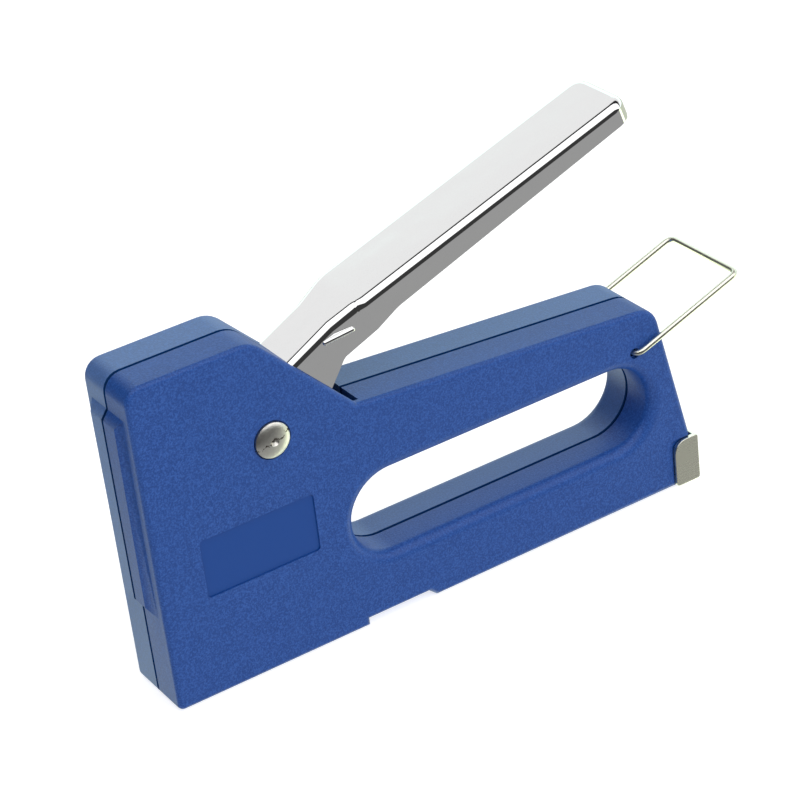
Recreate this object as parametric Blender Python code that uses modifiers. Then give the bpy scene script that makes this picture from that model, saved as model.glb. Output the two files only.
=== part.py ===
"""Light-duty hand staple gun, rebuilt piece by piece, in metres.

X runs from the nose to the tail, Z up from the sole and Y across. Every size below is measured from
the front face of the nose, and the whole tool then hangs on one empty, so that the world's origin
lies on the sole, in the parting plane, at the foot of the nose plate, where the staples leave.
"""
import math

import bmesh
import bpy
from mathutils import Matrix, Vector

# Clearances
GAP = 0.0003
PARTING_GAP = 0.0003
GROOVE = 0.0001
PARTING_BREAK = 0.0002

RUNNING = 0.0006
DRAWN_EDGE = 0.0002

# How far a cutter runs on past what it cuts
PAST = 0.001

# Housing
BODY_LENGTH = 0.162
BODY_WIDTH = 0.022
NOSE_HEIGHT = 0.092
NOSE_TOP_LENGTH = 0.035
WALL = 0.0022
FLOOR = 0.0026
GRIP_FRONT_X = 0.0615
GRIP_FRONT_Z = 0.06424
GRIP_FALL = 0.0819
REAR_LEAN = 0.2099
REAR_FOOT_HEIGHT = 0.0143
EDGE_ROUND = 0.0013
FRONT_TOP_ROUND = 0.0047
NOSE_REAR_ROUND = 0.008
TAIL_ROUND = 0.0068
FOOT_ROUND = 0.0018
TAIL_FOOT_ROUND = 0.0008
GRIP_CORNER_ROUND = 0.0008
TUNNEL_BEFORE_LATCH = 0.0065

# Finger opening, sole notch, front pad and label recess
SLOT_FRONT_X = 0.0563
SLOT_FLOOR = 0.00354
SLOT_RADIUS = 0.0119
SLOT_LIP = 0.0032
REAR_POST = 0.0087
NOTCH_FRONT_X = 0.057
NOTCH_LENGTH = 0.0184
NOTCH_RAMP = 0.0023
NOTCH_HEIGHT = 0.0020
PAD_HALF_WIDTH = 0.0079
PAD_DRAFT = 0.0019
PAD_TAPER = 0.0008
PAD_PROUD = 0.0018
PAD_LEDGE_Z = 0.0296
PAD_LEDGE_SLOPE = 0.0027
PAD_TOP_GAP = 0.0088
PAD_RAMP = 0.0024
LABEL_X = 0.0128
LABEL_Z = 0.0285
LABEL_LENGTH = 0.0327
LABEL_HEIGHT = 0.0166
LABEL_DEPTH = 0.0004
LABEL_ROUND = 0.0010

# Lever, a pressed steel channel on one rivet
PIVOT_X = 0.0366
PIVOT_Z = 0.0643
RIVET_DIAMETER = 0.005
RIVET_HEAD = 0.0096
RIVET_DOME = 0.0019
RIVET_RECESS = 0.0008
RIVET_TAIL = 0.0009
WASHER_SHEET = 0.0007
LEVER_SHEET = 0.0014
NECK_HALF_WIDTH = 0.0082
LEVER_HALF_WIDTH = 0.0103
LEVER_ANGLE = math.radians(18.04)
NECK_ANGLE = math.radians(27.2)
LEVER_TRAVEL = math.radians(24)
BEND_FROM_PIVOT = Vector((0.0282, 0.0260))
LEVER_REACH = 0.0893
HEEL_DEPTH = 0.0080
HEEL_BEHIND_BEND = 0.0097
HEEL_FROM_PIVOT = Vector((0.0244, 0.0122))
HUB_REAR_FROM_PIVOT = Vector((0.0112, -0.0070))
HUB_TOP = (0.0080, 0.0062)
HUB_FOOT = (0.0060, 0.0078)
TIP_DEPTH = 0.0061
TIP_CORNER = 0.0045
LEVER_EDGE = 0.0022
NECK_FRONT_REACH = 0.0345
NECK_FLARE = 0.010
FLARE_BEFORE_BEND = 0.0075
ARM_REACH = 0.0246
ARM_END = 0.0018
NECK_LIFT = 0.0008

# Way out for the lever: from ahead of the pivot to the front of the grip
OPENING_AHEAD = 0.0046
OPENING_INTO_GRIP = 0.0015
OPENING_BELOW_PIVOT = 0.0028
OPENING_ABOVE_PIVOT = 0.0157
OPENING_BEFORE_BEND = 0.0038

# Drive: plunger, blade, pins, springs
PLATE_SHEET = 0.0016
PLATE_BESIDE_CROWN = 0.0013
PLATE_HEIGHT = 0.040
BLADE_SHEET = 0.0010
BLADE_INSIDE_CROWN = 0.0001
BLADE_FOOT = 0.0014
PLUNGER_LENGTH = 0.0139
PLUNGER_HALF_WIDTH = 0.0062
PLUNGER_HEIGHT = 0.010
LIFT_PIN = 0.003
LIFT_PIN_BELOW_TOP = 0.0030
BLADE_PIN = 0.0025
BLADE_PIN_DEPTH = 0.005
BLADE_PIN_HEAD = 0.0008
BLADE_PIN_BELOW_LIFT_PIN = 0.0018
BLADE_BELOW_TOP = 0.002
BUMPER_HEIGHT = 0.0078
BUMPER_BEHIND = 0.002
SHELF_SHEET = 0.0022
SEAT_SHEET = 0.0014
POWER_WIRE = 0.0016
POWER_RADIUS = 0.0047
POWER_TURNS = 7
RETURN_WIRE = 0.0012
RETURN_RADIUS = 0.0040
RETURN_TURNS = 5

# Magazine drawer
CHANNEL_SIDE_CLEAR = 0.0004
CHANNEL_HEADROOM = 0.0013
CHANNEL_SHEET = 0.0009
STAPLE_WIRE = 0.0007
STAPLE_CROWN = 0.0114
STAPLE_LEG = 0.0060
STRIP_LENGTH = 0.050
RAIL_SHEET = 0.0008
RAIL_HEIGHT = 0.0059
RAIL_SLOT = 0.0028
RAIL_FRONT_WALL = 0.001
RAIL_SLOT_START = 0.004
PUSHER_LENGTH = 0.014
PUSHER_RISE = 0.0015
PUSHER_SKIRT = 0.0045
ROD_DIAMETER = 0.0022
ROD_BELOW_RAIL_TOP = 0.0036
COLLAR_DIAMETER = 0.0050
PUSHER_WIRE = 0.0006
PUSHER_TURNS = 15
BLOCK_LENGTH = 0.0105
ROD_WEB = 0.002
CAP_SHEET = 0.0012
CAP_WRAP = 0.0079
CAP_HEIGHT = 0.0137
CAP_CORNER = 0.0045
CAP_STEP = 0.0006
CAP_CLEAR = 0.0006
CAP_RIVET = 0.0022
CAP_RIVET_HEAD = 0.0008
CAP_FOLD = 0.0009

# Wire latch
LATCH_TAIL_GAP = 0.0163
LATCH_Z = 0.04565
LATCH_WIRE = 0.0016
LATCH_LENGTH = 0.0363
LATCH_SPREAD = 0.0067
LATCH_TAIL = 0.0072
LATCH_SIDE_PLAY = 0.00225
LATCH_ANGLE = math.radians(19.1)
LATCH_CORNER = 0.0022
LATCH_HOLE_DEPTH = 0.0062
LATCH_SINK = 0.0031

# Screws, driven from the far side
SCREW_SHAFT = 0.0026
SCREW_HEAD = 0.0054
SCREW_HEAD_HEIGHT = 0.0016
SCREW_SINK = 0.0018
SCREW_LENGTH = 0.0165
BOSS_DIAMETER = 0.0064
BOSS_INTO_WALL = 0.0004

# Where each screw stands: before the pivot and below the nose's top; before the finger opening's front
# and below its middle; before the latch and below the grip's top; before the rear edge and above the magazine
NOSE_SCREW = (0.0091, 0.0080)
POST_SCREW = (0.0105, 0.0010)
GRIP_SCREW = (0.0180, 0.0051)
TAIL_SCREW = (0.0066, 0.0062)

# Worked out from the sizes above
HALF_WIDTH = BODY_WIDTH / 2
CAVITY = HALF_WIDTH - WALL
PARTING = PARTING_GAP / 2
PIVOT = Vector((PIVOT_X, PIVOT_Z))
PLATE_X = WALL + GAP
ORIGIN_X = PLATE_X + PLATE_SHEET / 2
BLADE_X = PLATE_X + PLATE_SHEET + GAP
PLUNGER_X = BLADE_X + BLADE_SHEET + GAP
MAGAZINE_X = BLADE_X + BLADE_SHEET + 2 * GAP
ARM_REST = LEVER_TRAVEL / 2
LIFT_PIN_X = PIVOT_X - ARM_REACH
LIFT_PIN_Z = PIVOT_Z - ARM_REACH * math.tan(ARM_REST)
PLUNGER_TOP = LIFT_PIN_Z + LIFT_PIN_BELOW_TOP
PLUNGER_FOOT = PLUNGER_TOP - PLUNGER_HEIGHT
SHELF_TOP = PLUNGER_FOOT - BUMPER_HEIGHT - 2 * GAP
SEAT_TOP = NOSE_HEIGHT - WALL - GAP
SPRING_X = PLUNGER_X + PLUNGER_LENGTH / 2
STAPLE_TOP = BLADE_FOOT + ARM_REACH * 2 * math.tan(ARM_REST) - GAP
RAIL_TOP = STAPLE_TOP - STAPLE_WIRE - GAP
PUSHER_TOP = RAIL_TOP + GAP + PUSHER_RISE
CHANNEL_FOOT = FLOOR + GAP
CHANNEL_TOP = PUSHER_TOP + CHANNEL_HEADROOM + CHANNEL_SHEET
CHANNEL_HALF_WIDTH = STAPLE_CROWN / 2 + CHANNEL_SIDE_CLEAR + CHANNEL_SHEET
TUNNEL_TOP = CHANNEL_TOP + GAP
TUNNEL_HALF_WIDTH = CHANNEL_HALF_WIDTH + GAP
SLOT_Z = TUNNEL_TOP + SLOT_FLOOR + SLOT_RADIUS
PLATE_HALF_WIDTH = STAPLE_CROWN / 2 + PLATE_BESIDE_CROWN
BLADE_HALF_WIDTH = STAPLE_CROWN / 2 - BLADE_INSIDE_CROWN
RAIL_HALF_WIDTH = STAPLE_CROWN / 2 - STAPLE_WIRE - GAP
ROD_Z = RAIL_TOP - ROD_BELOW_RAIL_TOP
RAIL_X = MAGAZINE_X + GAP
RAIL_END = BODY_LENGTH - GAP
BLOCK_X = RAIL_END - BLOCK_LENGTH
STRIP_X = RAIL_X
PUSHER_X = STRIP_X + STRIP_LENGTH + GAP
CAP_X = BODY_LENGTH + CAP_CLEAR
CAP_FOOT = GAP
CAP_HALF_WIDTH = HALF_WIDTH - CAP_STEP + GAP
LATCH_X = BODY_LENGTH - LATCH_TAIL_GAP
LATCH_WIDTH = BODY_WIDTH + LATCH_SPREAD


# ---- Outlines and points ------------------------------------------------------------------------
def corner_arc(before, corner, after, radius, steps):
    """Points round a filleted corner, in two or three dimensions. A short side limits the radius."""
    back = before - corner
    ahead = after - corner
    half = back.angle(ahead) / 2
    if radius <= 0 or half > math.radians(89):
        return [corner]
    reach = min(radius / math.tan(half), 0.48 * back.length, 0.48 * ahead.length)
    radius = reach * math.tan(half)
    back.normalize()
    ahead.normalize()
    centre = corner + (back + ahead).normalized() * (radius / math.sin(half))
    start = corner + back * reach - centre
    end = corner + ahead * reach - centre
    turn = start.angle(end)
    points = []
    for step in range(steps + 1):
        part = step / steps
        arm = (start * math.sin((1 - part) * turn) + end * math.sin(part * turn)) / math.sin(turn)
        points.append(centre + arm)
    return points


def rounded(corners, steps=4, closed=True):
    """A polyline through (point, radius) corners, with its corners filleted."""
    points = []
    count = len(corners)
    for index, (corner, radius) in enumerate(corners):
        if not closed and index in (0, count - 1):
            points.append(Vector(corner))
            continue
        before = Vector(corners[index - 1][0])
        after = Vector(corners[(index + 1) % count][0])
        points += corner_arc(before, Vector(corner), after, radius, steps)
    return points


def rectangle(low, high, radius=0.0, steps=3):
    """A rectangle in XZ from its low corner to its high corner."""
    return rounded([((low[0], low[1]), radius), ((high[0], low[1]), radius),
                    ((high[0], high[1]), radius), ((low[0], high[1]), radius)], steps)


def stadium(first, second, radius, steps=10):
    """A slot with round ends in XZ, round the line between two centres."""
    first = Vector(first)
    second = Vector(second)
    heading = math.atan2(second.y - first.y, second.x - first.x)
    points = []
    for centre, start in ((second, heading - math.pi / 2), (first, heading + math.pi / 2)):
        for step in range(steps + 1):
            angle = start + math.pi * step / steps
            points.append(centre + radius * Vector((math.cos(angle), math.sin(angle))))
    return points


def inset(corners, distance):
    """A counterclockwise outline moved inwards by one distance."""
    moved = []
    for index, corner in enumerate(corners):
        into = (corner - corners[index - 1]).normalized()
        out = (corners[(index + 1) % len(corners)] - corner).normalized()
        first = Vector((-into.y, into.x))
        second = Vector((-out.y, out.x))
        moved.append(corner + (first + second) * (distance / (1 + first.dot(second))))
    return moved


def rear_edge_x(z):
    """Where the leaning rear edge of the housing lies at a height."""
    return BODY_LENGTH - REAR_LEAN * max(z - REAR_FOOT_HEIGHT, 0)


def grip_top_z(x):
    """Height of the grip's top at a distance from the nose."""
    return GRIP_FRONT_Z - GRIP_FALL * (x - GRIP_FRONT_X)


def body_corners():
    """The seven corners of the housing's side outline, counterclockwise from the front of the sole."""
    reach = BODY_LENGTH + REAR_LEAN * REAR_FOOT_HEIGHT - GRIP_FRONT_X
    tail_z = (GRIP_FRONT_Z - GRIP_FALL * reach) / (1 - GRIP_FALL * REAR_LEAN)
    return [Vector((0, 0)), Vector((BODY_LENGTH, 0)), Vector((BODY_LENGTH, REAR_FOOT_HEIGHT)),
            Vector((rear_edge_x(tail_z), tail_z)), Vector((GRIP_FRONT_X, GRIP_FRONT_Z)),
            Vector((NOSE_TOP_LENGTH, NOSE_HEIGHT)), Vector((0, NOSE_HEIGHT))]


def notch_corners():
    """The notch in the sole, front to rear, with a ramp at its rear end."""
    end = NOTCH_FRONT_X + NOTCH_LENGTH
    return [Vector((NOTCH_FRONT_X, 0)), Vector((NOTCH_FRONT_X, NOTCH_HEIGHT)), Vector((end, NOTCH_HEIGHT)),
            Vector((end + NOTCH_RAMP, 0))]


def slot_centres():
    """The two arc centres of the finger opening."""
    rear = rear_edge_x(SLOT_Z) - REAR_POST - SLOT_RADIUS
    return Vector((SLOT_FRONT_X + SLOT_RADIUS, SLOT_Z)), Vector((rear, SLOT_Z))


def screw_places():
    """The four screws in XZ: nose top, behind the nose, grip and tail."""
    grip_x = LATCH_X - GRIP_SCREW[0]
    tail_z = TUNNEL_TOP + TAIL_SCREW[1]
    return [Vector((PIVOT_X - NOSE_SCREW[0], NOSE_HEIGHT - NOSE_SCREW[1])),
            Vector((SLOT_FRONT_X - POST_SCREW[0], SLOT_Z - POST_SCREW[1])),
            Vector((grip_x, grip_top_z(grip_x) - WALL - GRIP_SCREW[1])),
            Vector((rear_edge_x(tail_z) - TAIL_SCREW[0], tail_z))]


# ---- Making objects -----------------------------------------------------------------------------
def clear_scene():
    for thing in list(bpy.data.objects):
        bpy.data.objects.remove(thing)


def new_collection(name):
    collection = bpy.data.collections.new(name)
    bpy.context.scene.collection.children.link(collection)
    return collection


def look(name, colour, metallic, roughness):
    """A plain Principled material."""
    material = bpy.data.materials.new(name)
    material.use_nodes = True
    shader = material.node_tree.nodes["Principled BSDF"]
    shader.inputs["Base Color"].default_value = (*colour, 1)
    shader.inputs["Metallic"].default_value = metallic
    shader.inputs["Roughness"].default_value = roughness
    return material


def joint_empty(name, place):
    """An empty on a joint's axis, at a place measured from the nose."""
    empty = bpy.data.objects.new(name, None)
    empty.empty_display_size = 0.01
    PARTS.objects.link(empty)
    empty.parent = TOOL
    empty.location = place
    return empty


def add_part(name, mesh, material, joint=None):
    """Hangs a mesh that is measured from the nose on its joint's empty."""
    joint = joint or TOOL
    if joint is not TOOL:
        mesh.transform(Matrix.Translation(-joint.location))
    part = bpy.data.objects.new(name, mesh)
    PARTS.objects.link(part)
    part.parent = joint
    mesh.materials.append(material)
    return part


def add_cutter(name, mesh):
    cutter = bpy.data.objects.new(name, mesh)
    CUTTERS.objects.link(cutter)
    cutter.parent = TOOL
    cutter.hide_render = True
    cutter.display_type = "WIRE"
    return cutter


def boolean(part, other, operation="DIFFERENCE"):
    modifier = part.modifiers.new(other.name, "BOOLEAN")
    modifier.operation = operation
    modifier.object = other


def combine(part, name, meshes, operation="DIFFERENCE"):
    """One Boolean with several helpers at once."""
    group = bpy.data.collections.new(name)
    CUTTERS.children.link(group)
    group.hide_render = True
    for piece, mesh in meshes.items():
        helper = add_cutter(f"{name}_{piece}", mesh)
        CUTTERS.objects.unlink(helper)
        group.objects.link(helper)
    modifier = part.modifiers.new(name, "BOOLEAN")
    modifier.operation = operation
    modifier.operand_type = "COLLECTION"
    modifier.collection = group


def to_mesh(shape, name):
    """Turns a closed bmesh into a mesh whose faces point out."""
    if shape.calc_volume(signed=True) < 0:
        bmesh.ops.reverse_faces(shape, faces=shape.faces[:])
    mesh = bpy.data.meshes.new(name)
    shape.to_mesh(mesh)
    shape.free()
    return mesh


def smooth(part, angle=40):
    part.data.shade_smooth()
    part.data.set_sharp_from_angle(angle=math.radians(angle))


def outline_shape(loops, low, high):
    """A bmesh of a flat XZ outline, and its holes, made solid between two values of Y."""
    curve = bpy.data.curves.new("outline", "CURVE")
    curve.dimensions = "2D"
    curve.fill_mode = "BOTH"
    curve.extrude = (high - low) / 2
    for loop in loops:
        spline = curve.splines.new("POLY")
        spline.points.add(len(loop) - 1)
        spline.use_cyclic_u = True
        for point, place in zip(spline.points, loop):
            point.co = (place[0], place[1], 0, 1)
    drawn = bpy.data.objects.new("outline", curve)
    drawn.rotation_euler.x = math.pi / 2
    drawn.location.y = (low + high) / 2
    CUTTERS.objects.link(drawn)
    bpy.context.view_layer.update()
    graph = bpy.context.evaluated_depsgraph_get()
    mesh = bpy.data.meshes.new_from_object(drawn.evaluated_get(graph))
    mesh.transform(drawn.matrix_world)
    bpy.data.objects.remove(drawn)
    shape = bmesh.new()
    shape.from_mesh(mesh)
    bpy.data.meshes.remove(mesh)
    for vert in shape.verts:
        vert.co.y = low if vert.co.y < (low + high) / 2 else high
    bmesh.ops.remove_doubles(shape, verts=shape.verts, dist=0.00001)
    bmesh.ops.dissolve_limit(shape, angle_limit=math.radians(0.5), verts=shape.verts, edges=shape.edges)
    bmesh.ops.recalc_face_normals(shape, faces=shape.faces)
    return shape


def slab(loops, low, high, name="slab"):
    return to_mesh(outline_shape(loops, low, high), name)


def box_shape(low, high):
    shape = bmesh.new()
    size = [b - a for a, b in zip(low, high)]
    middle = [(a + b) / 2 for a, b in zip(low, high)]
    bmesh.ops.create_cube(shape, size=1, matrix=Matrix.Translation(middle) @ Matrix.Diagonal((*size, 1)))
    return shape


def box(low, high, edge=0.0, name="box"):
    """A box, with its edges rounded where an edge radius is given."""
    shape = box_shape(low, high)
    if edge:
        bmesh.ops.bevel(shape, geom=shape.edges[:], offset=edge, affect="EDGES", segments=2,
                        profile=0.5, material=-1)
    return to_mesh(shape, name)


def cylinder_shape(start, end, diameter, segments=24):
    """A bmesh cylinder between two points."""
    start = Vector(start)
    end = Vector(end)
    turn = (end - start).to_track_quat("Z", "Y").to_matrix().to_4x4()
    shape = bmesh.new()
    bmesh.ops.create_cone(shape, cap_ends=True, segments=segments, radius1=diameter / 2,
                          radius2=diameter / 2, depth=(end - start).length,
                          matrix=Matrix.Translation((start + end) / 2) @ turn)
    return shape


def cylinders(ends, diameter, segments=24, name="cylinders"):
    """Several cylinders of one diameter, as separate bodies of one mesh."""
    gathered = bmesh.new()
    for start, end in ends:
        mesh = to_mesh(cylinder_shape(start, end, diameter, segments), name)
        gathered.from_mesh(mesh)
        bpy.data.meshes.remove(mesh)
    return to_mesh(gathered, name)


def across(place, low, high):
    """The two ends of a line across the tool, through a place in XZ."""
    return (place[0], low, place[1]), (place[0], high, place[1])


def turned(name, profile, material, place, heading, joint=None, steps=24):
    """A turned piece: (radius, height) points from its top down its outer side, on a Screw."""
    mesh = bpy.data.meshes.new(name)
    points = [(radius, 0, height) for radius, height in profile]
    mesh.from_pydata(points, [(index, index + 1) for index in range(len(points) - 1)], [])
    joint = joint or TOOL
    part = bpy.data.objects.new(name, mesh)
    PARTS.objects.link(part)
    part.parent = joint
    part.location = Vector(place) - (joint.location if joint is not TOOL else Vector())
    part.rotation_euler = Vector(heading).to_track_quat("Z", "Y").to_euler()
    spin = part.modifiers.new("turn", "SCREW")
    spin.angle = 2 * math.pi
    spin.steps = steps
    spin.render_steps = steps
    spin.use_merge_vertices = True
    spin.merge_threshold = 0.00001
    spin.use_smooth_shade = True
    mesh.materials.append(material)
    return part


def wire(name, points, diameter, material, joint=None):
    """A round wire through points that are measured from the nose."""
    joint = joint or TOOL
    offset = joint.location if joint is not TOOL else Vector()
    curve = bpy.data.curves.new(name, "CURVE")
    curve.dimensions = "3D"
    curve.bevel_depth = diameter / 2
    curve.bevel_resolution = 2
    curve.use_fill_caps = True
    spline = curve.splines.new("POLY")
    spline.points.add(len(points) - 1)
    for point, place in zip(spline.points, points):
        point.co = (*(Vector(place) - offset), 1)
    part = bpy.data.objects.new(name, curve)
    PARTS.objects.link(part)
    part.parent = joint
    curve.materials.append(material)
    return part


def coil(centre, along, radius, length, turns, per_turn=12):
    """Points of a coil from a centre point, with a closed turn at each end."""
    along = Vector(along)
    side = along.orthogonal().normalized()
    other = along.cross(side)
    points = []
    count = turns * per_turn
    for step in range(count + 1):
        turn = 2 * math.pi * step / per_turn
        part = step / count
        eased = part - math.sin(2 * math.pi * part) / (2 * math.pi) * 0.25
        points.append(Vector(centre) + along * (length * eased)
                      + radius * (math.cos(turn) * side + math.sin(turn) * other))
    return points


# ---- Housing ------------------------------------------------------------------------------------
def outer_half(name, side):
    """One half of the housing, solid, with its outer rim and the finger opening's lip rounded."""
    radii = [FOOT_ROUND, TAIL_FOOT_ROUND, 0, TAIL_ROUND, GRIP_CORNER_ROUND, NOSE_REAR_ROUND, FRONT_TOP_ROUND]
    corners = list(zip(body_corners(), radii))
    rim = rounded(corners[:1] + [(place, 0) for place in notch_corners()] + corners[1:], steps=6)
    slot = stadium(*slot_centres(), SLOT_RADIUS, steps=24)
    face_y = side * HALF_WIDTH
    inner_y = side * PARTING
    shape = outline_shape([rim, slot], min(face_y, inner_y), max(face_y, inner_y))
    front, rear = slot_centres()

    def outer_edges(in_slot):
        found = []
        for edge in shape.edges:
            if any(abs(vert.co.y - face_y) > 0.00001 for vert in edge.verts):
                continue
            if len(edge.link_faces) == 2 and edge.calc_face_angle() < 0.5:
                continue
            middle = (edge.verts[0].co + edge.verts[1].co) / 2
            inside = (abs(middle.z - SLOT_Z) < SLOT_RADIUS + 0.0001
                      and front.x - SLOT_RADIUS - 0.0001 < middle.x < rear.x + SLOT_RADIUS + 0.0001)
            if inside == in_slot:
                found.append(edge)
        return found

    parting_edges = [edge for edge in shape.edges
                     if all(abs(vert.co.y - inner_y) < 0.00001 for vert in edge.verts)
                     and edge.calc_face_angle() > 0.5]
    bmesh.ops.bevel(shape, geom=parting_edges, offset=PARTING_BREAK, affect="EDGES", segments=1,
                    profile=0.5, material=-1)
    for in_slot, radius in ((True, SLOT_LIP), (False, EDGE_ROUND)):
        bmesh.ops.bevel(shape, geom=outer_edges(in_slot), offset=radius, affect="EDGES", segments=4,
                        profile=0.5, material=-1)
    for vert in shape.verts:
        for plane in (inner_y, face_y):
            if abs(vert.co.y - plane) < 0.00001:
                vert.co.y = plane
    return add_part(name, to_mesh(shape, name), BLUE)


def front_pad(side):
    """Half of the raised pad on the nose: sloped at its sides, at its top and at the ledge below it."""
    top = NOSE_HEIGHT - PAD_TOP_GAP
    foot = PAD_LEDGE_Z - PAD_LEDGE_SLOPE
    outline = [(-PAD_PROUD, PAD_LEDGE_Z), (0, foot), (WALL / 2, foot), (WALL / 2, top),
               (0, top), (-PAD_PROUD, top - PAD_RAMP)]
    low, high = sorted((side * (PARTING + GROOVE), side * PAD_HALF_WIDTH))
    shape = outline_shape([outline], low, high)
    for vert in shape.verts:
        if abs(vert.co.y) > PAD_HALF_WIDTH / 2 and vert.co.x < -PAD_PROUD / 2:
            taper = PAD_TAPER if vert.co.z < NOSE_HEIGHT / 2 else 0
            vert.co.y -= side * (PAD_DRAFT + taper)
    return to_mesh(shape, "front_pad")


def upper_chamber():
    """The hollow for the spring, the plunger and the lever, and the tunnel in the grip."""
    inner = inset(body_corners(), WALL)
    tunnel_floor = SLOT_Z + SLOT_RADIUS + WALL
    tunnel_end = LATCH_X - TUNNEL_BEFORE_LATCH
    step_x = SLOT_FRONT_X - WALL
    shelf = min(SHELF_TOP, tunnel_floor)
    roof = inner[4].y - GRIP_FALL * (tunnel_end - inner[4].x)
    return rounded([((WALL + GAP, shelf), 0), ((step_x, shelf), 0), ((step_x, tunnel_floor), 0),
                    ((tunnel_end, tunnel_floor), 0.001), ((tunnel_end, roof), 0.001),
                    (inner[4], 0), (inner[5], 0.004), (inner[6] + Vector((GAP, 0)), 0.003)], steps=3)


def lever_opening():
    """The way out for the lever's neck, up the slope and a little way into the top of the grip."""
    slope = math.tan(NECK_ANGLE)
    bend = PIVOT + BEND_FROM_PIVOT

    def above_neck(x):
        return bend.y + slope * (x - bend.x) + NECK_LIFT

    front = PIVOT_X - OPENING_AHEAD
    back = GRIP_FRONT_X + OPENING_INTO_GRIP
    low = PIVOT_Z - OPENING_BELOW_PIVOT
    near_bend = bend.x - OPENING_BEFORE_BEND
    return [(front, low), (back, low), (back, PIVOT_Z + OPENING_ABOVE_PIVOT),
            (near_bend, above_neck(near_bend)), (front, above_neck(front))]


def housing_hollows(side):
    """Every hollow of one half."""
    blade_way = BLADE_X + BLADE_SHEET + RUNNING + 3 * GAP
    plate_y = PLATE_HALF_WIDTH + 2 * GAP
    neck_y = NECK_HALF_WIDTH + GAP
    chamber_floor = TUNNEL_TOP + WALL
    chamber_top = SHELF_TOP - SHELF_SHEET
    chamber_front = blade_way + WALL
    chamber_rear = SLOT_FRONT_X - WALL
    latch = (LATCH_X, LATCH_Z)
    hole = RIVET_DIAMETER + 2 * GAP
    cut_y = HALF_WIDTH - LATCH_HOLE_DEPTH
    far_y = HALF_WIDTH + PAST
    sink_y = HALF_WIDTH - RIVET_RECESS
    cap_y = HALF_WIDTH - CAP_STEP
    cap_x = CAP_X + CAP_SHEET - CAP_WRAP - GAP
    cap_top = CAP_FOOT + CAP_HEIGHT + GAP
    tail = BODY_LENGTH + PAST
    meshes = {
        "upper_chamber": slab([upper_chamber()], -CAVITY, CAVITY),
        "lower_chamber": slab([rectangle((chamber_front, chamber_floor), (chamber_rear, chamber_top), 0.001)],
                              -CAVITY, CAVITY),
        "blade_way": box((WALL, -plate_y, -PAST), (blade_way, plate_y, SHELF_TOP + PAST)),
        "magazine_tunnel": box((MAGAZINE_X, -TUNNEL_HALF_WIDTH, FLOOR),
                               (tail, TUNNEL_HALF_WIDTH, TUNNEL_TOP)),
        "lever_opening": slab([lever_opening()], -neck_y, neck_y),
        "rivet_hole": cylinders([across(PIVOT, -far_y, far_y)], hole),
        "rivet_sink": cylinders([across(PIVOT, side * sink_y, side * far_y)], RIVET_HEAD + 3 * GAP, 32),
        "latch_hole": cylinders([across(latch, side * cut_y, side * far_y)], LATCH_WIRE + 2 * GAP, 16),
        "latch_sink": cylinders([across(latch, side * sink_y, side * far_y)], LATCH_SINK, 20),
        "cap_step": box((cap_x, min(side * cap_y, side * far_y), -PAST),
                        (tail, max(side * cap_y, side * far_y), cap_top)),
    }
    if side < 0:
        meshes["label"] = label_recess()
    return meshes


def screw_bosses(side):
    """Bosses for the three screws that stand in a hollow."""
    inner = side * PARTING
    outer = side * (CAVITY + BOSS_INTO_WALL)
    ends = [across(place, inner, outer) for place in screw_places()[:3]]
    return cylinders(ends, BOSS_DIAMETER, 20)


def screw_holes(side):
    """Blind holes in the near half; clear holes with a sink for the head in the far half."""
    depth = HALF_WIDTH - SCREW_SINK - SCREW_LENGTH - GAP
    ends = [across(place, depth, HALF_WIDTH) for place in screw_places()]
    meshes = {"shafts": cylinders(ends, SCREW_SHAFT + 2 * GAP, 16)}
    if side > 0:
        ends = [across(place, HALF_WIDTH - SCREW_SINK, HALF_WIDTH + PAST) for place in screw_places()]
        meshes["heads"] = cylinders(ends, SCREW_HEAD + 2 * GAP, 20)
    return meshes


def label_recess():
    outline = rectangle((LABEL_X, LABEL_Z), (LABEL_X + LABEL_LENGTH, LABEL_Z + LABEL_HEIGHT), LABEL_ROUND)
    return slab([outline], -HALF_WIDTH - PAST, -HALF_WIDTH + LABEL_DEPTH)


def housing():
    for name, side in (("housing_right", -1), ("housing_left", 1)):
        half = outer_half(name, side)
        boolean(half, add_cutter(f"{name}_pad", front_pad(side)), "UNION")
        combine(half, f"{name}_hollows", housing_hollows(side))
        boolean(half, add_cutter(f"{name}_bosses", screw_bosses(side)), "UNION")
        combine(half, f"{name}_holes", screw_holes(side))


def screws():
    """Four pan-head screws that hold the halves together."""
    shaft = SCREW_SHAFT / 2
    head = SCREW_HEAD / 2
    profile = [(0, SCREW_HEAD_HEIGHT), (head * 0.7, SCREW_HEAD_HEIGHT), (head, SCREW_HEAD_HEIGHT * 0.45),
               (head, 0), (shaft, 0), (shaft, -SCREW_LENGTH + shaft * 2), (shaft * 0.3, -SCREW_LENGTH),
               (0, -SCREW_LENGTH)]
    for number, place in enumerate(screw_places(), 1):
        seat = (place.x, HALF_WIDTH - SCREW_SINK + GAP, place.y)
        turned(f"housing_screw_{number}", profile, STEEL, seat, (0, 1, 0), steps=16)


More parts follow.
